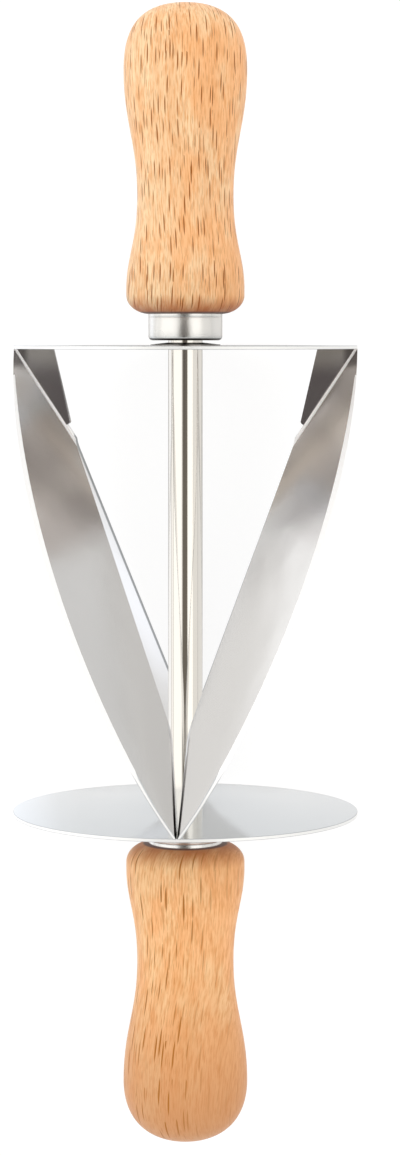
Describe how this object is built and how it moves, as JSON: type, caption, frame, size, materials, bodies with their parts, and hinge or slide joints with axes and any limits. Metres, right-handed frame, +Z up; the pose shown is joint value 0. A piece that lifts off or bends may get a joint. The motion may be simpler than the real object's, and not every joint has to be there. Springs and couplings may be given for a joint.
{
  "type": "dough cutter",
  "caption": "Rolling dough cutter: slanted folded steel blades run in a zig-zag between round discs on a rod that turns in turned wooden handles, to cut croissant triangles.",
  "frame": {"origin": "on the bench, below the middle of the overall length, with the cutter lying on its drum", "axes": "+X along the axle to the right (longer) handle, -Y to the front, +Z up"},
  "size_m": [0.3306, 0.1, 0.1],
  "materials": {
    "satin_steel": "rolled stainless sheet, satin",
    "polished_steel": "polished stainless",
    "zinc_steel": "zinc-plated spring steel",
    "beech": "turned beech, oiled",
    "nylon": "natural nylon"
  },
  "bodies": {
    "right_grip": {"right_handle": "beech", "right_ferrule": "polished_steel", "right_bush": "nylon", "right_washer": "zinc_steel"},
    "cutter": {"axle": "polished_steel", "right_disc": "satin_steel", "left_disc": "satin_steel", "top_rear_blade": "satin_steel", "top_front_blade": "satin_steel", "bottom_rear_blade": "satin_steel", "bottom_front_blade": "satin_steel", "right_retaining_ring": "zinc_steel", "left_retaining_ring": "zinc_steel", "right_wear_washer": "polished_steel", "left_wear_washer": "polished_steel"},
    "left_grip": {"left_handle": "beech", "left_ferrule": "polished_steel", "left_bush": "nylon", "left_washer": "zinc_steel"}
  },
  "joints": [
    {"name": "cutter_spin", "type": "hinge", "parent": "right_grip", "child": "cutter", "pos_m": [0, 0, 0.05], "axis": [1, 0, 0], "continuous": true},
    {"name": "left_handle_spin", "type": "hinge", "parent": "cutter", "child": "left_grip", "pos_m": [0, 0, 0.05], "axis": [1, 0, 0], "continuous": true}
  ]
}
